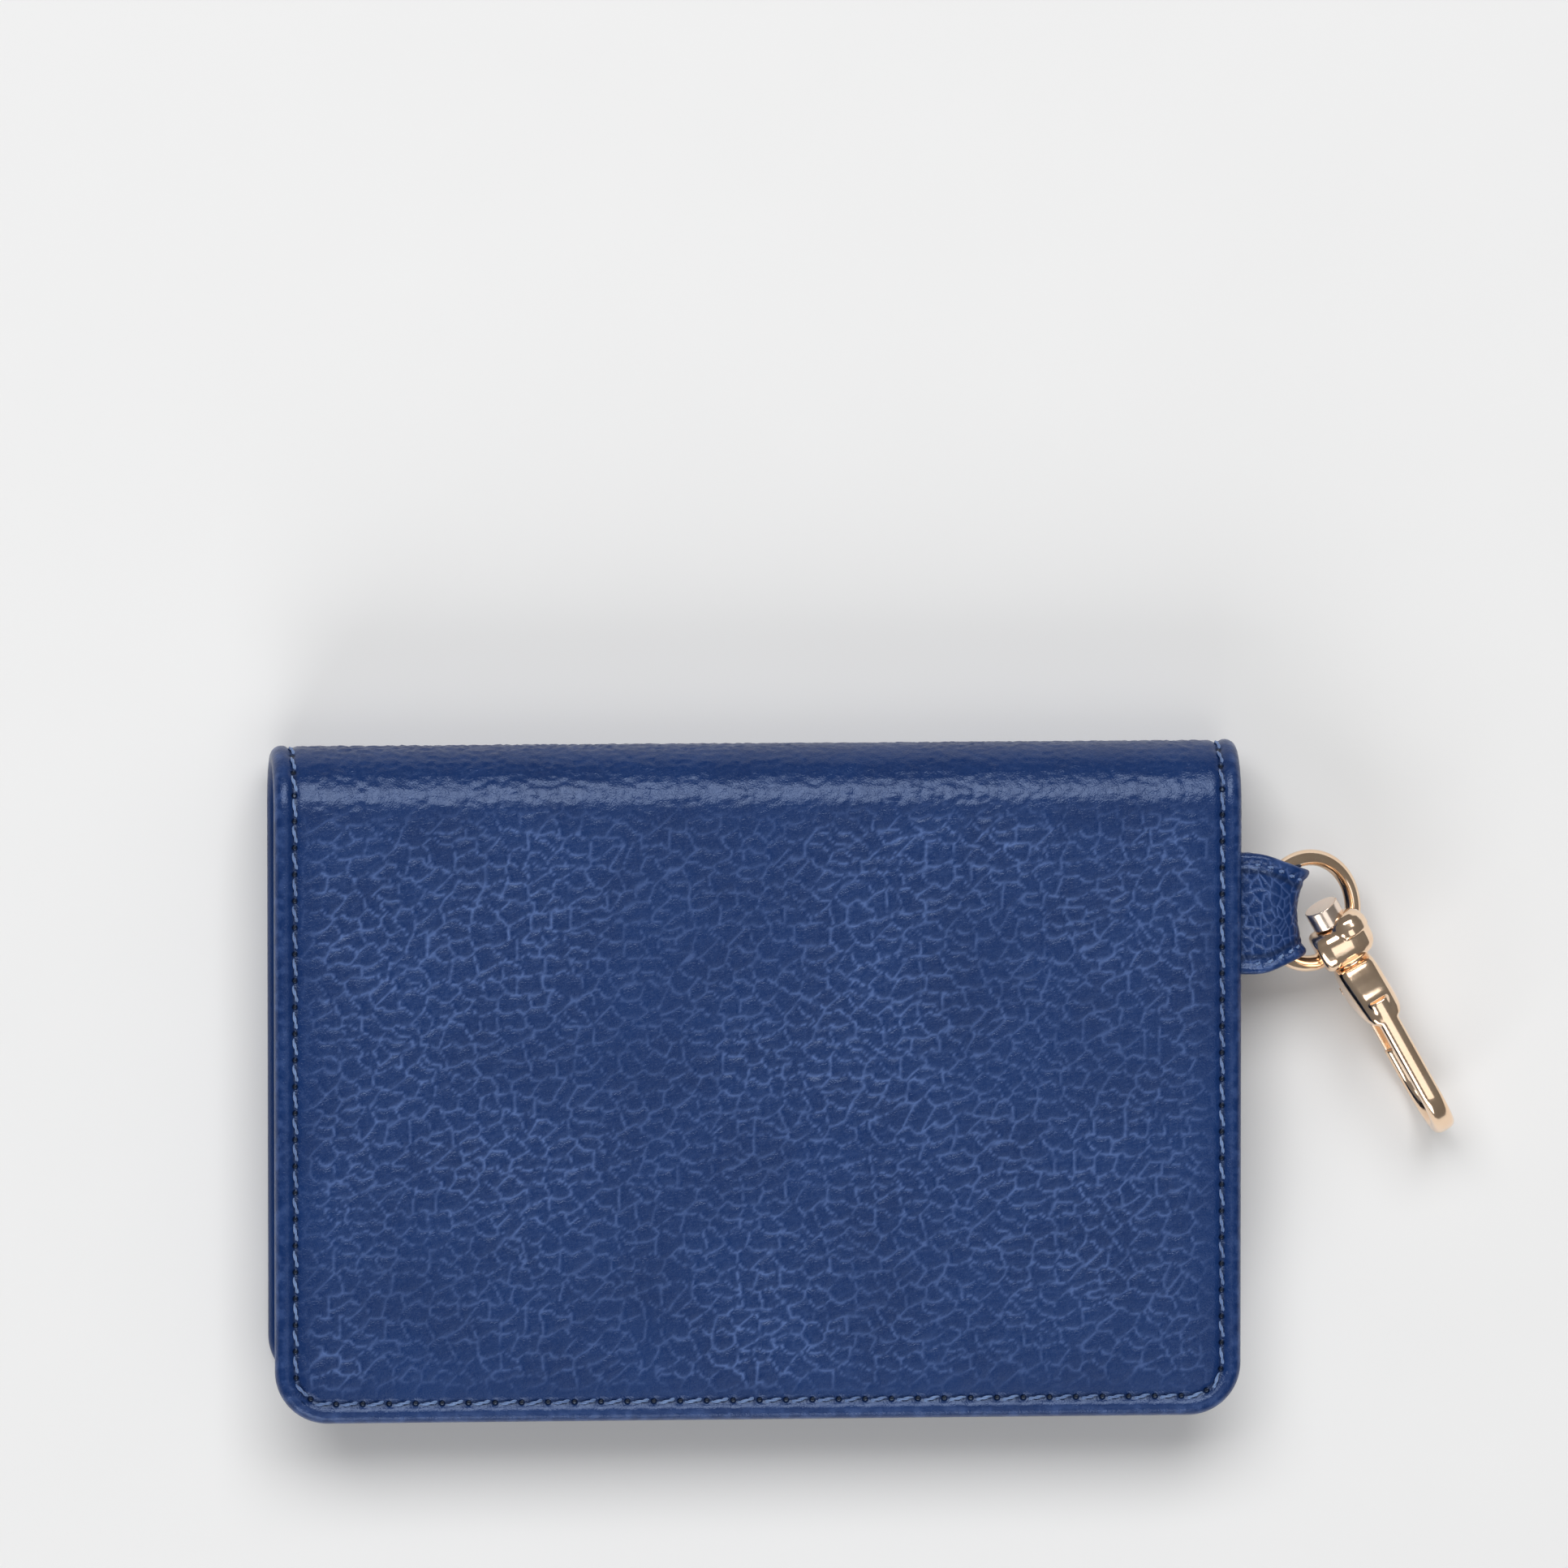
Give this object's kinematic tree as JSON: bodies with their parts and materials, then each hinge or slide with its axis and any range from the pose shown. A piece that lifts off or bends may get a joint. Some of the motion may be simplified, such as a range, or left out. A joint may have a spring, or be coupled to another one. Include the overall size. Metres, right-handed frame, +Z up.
{
  "type": "card holder",
  "caption": "Folded leather card holder with card slots, an ID window, and a sewn side tab that carries a ring and a swivel snap clasp.",
  "frame": {"origin": "on the outer face of the back cover that the closed holder rests on, in the middle of the front cover's width and depth", "axes": "+X along the fold to the side with the ring tab, +Y from the free edge to the fold, +Z up through the thickness"},
  "size_m": [0.1353, 0.0764, 0.0143],
  "materials": {
    "cover_leather": "blue pebble grain, semi-gloss",
    "pocket_leather": "blue fine grain",
    "lining_fabric": "fine woven lining",
    "board": "uncoated",
    "thread": "twisted thread",
    "gold_metal": "polished pale gold plating",
    "clear_film": "clear film",
    "spring_steel": "drawn wire"
  },
  "bodies": {
    "back": {"back_cover": "cover_leather", "back_board": "board", "back_lining": "lining_fabric", "back_stitching": "thread", "slot_strips_upper": "lining_fabric", "slot_panel_upper": "pocket_leather", "slot_strips_middle": "lining_fabric", "slot_panel_middle": "pocket_leather", "slot_strips_lower": "lining_fabric", "slot_panel_lower": "pocket_leather"},
    "spine": {"spine_cover": "cover_leather", "spine_lining": "lining_fabric", "spine_stitching": "thread"},
    "front": {"front_cover": "cover_leather", "front_board": "board", "front_lining": "lining_fabric", "front_stitching": "thread", "window_strips": "lining_fabric", "window_frame": "pocket_leather", "id_window": "clear_film", "slip_strips": "lining_fabric", "slip_panel": "pocket_leather", "tab_anchor": "cover_leather"},
    "tab": {"ring_tab": "cover_leather", "tab_stitching": "thread"},
    "ring": {"o_ring": "gold_metal"},
    "eye": {"swivel_eye": "gold_metal"},
    "hook": {"hook_body": "gold_metal", "swivel_rivet": "gold_metal", "gate_pin": "gold_metal", "gate_spring": "spring_steel"},
    "gate": {"gate_lever": "gold_metal"}
  },
  "joints": [
    {"name": "spine_fold", "type": "hinge", "parent": "back", "child": "spine", "pos_m": [0, 0.03624, 0.00201], "axis": [-1, 0, 0], "range_deg": [0, 90]},
    {"name": "cover_fold", "type": "hinge", "parent": "spine", "child": "front", "pos_m": [0, 0.03624, 0.01199], "axis": [-1, 0, 0], "range_deg": [0, 90]},
    {"name": "tab_flex", "type": "hinge", "parent": "front", "child": "tab", "pos_m": [0.056, 0.0188, 0.0114], "axis": [0, 1, 0], "range_deg": [-45, 25]},
    {"name": "ring_tilt", "type": "hinge", "parent": "tab", "child": "ring", "pos_m": [0.05788, 0.0188, 0.01072], "axis": [0, 1, 0], "range_deg": [-14, 6]},
    {"name": "eye_swing", "type": "hinge", "parent": "ring", "child": "eye", "pos_m": [0.06784, 0.01559, 0.00564], "axis": [0.4722, 0.848, -0.2406], "range_deg": [-1, 14]},
    {"name": "clasp_swivel", "type": "hinge", "parent": "eye", "child": "hook", "pos_m": [0.0672, 0.0144, 0.01], "axis": [0.4898, -0.8483, -0.2011], "continuous": true},
    {"name": "gate_open", "type": "hinge", "parent": "hook", "child": "gate", "pos_m": [0.06946, 0.01034, 0.00476], "axis": [-0.8641, -0.503, 0.0171], "range_deg": [0, 33], "stiffness_Nm_per_rad": 0.002, "springref_deg": -17.19}
  ],
  "couplings": [
    {"joint": "cover_fold", "follows": "spine_fold", "ratio": 1}
  ]
}
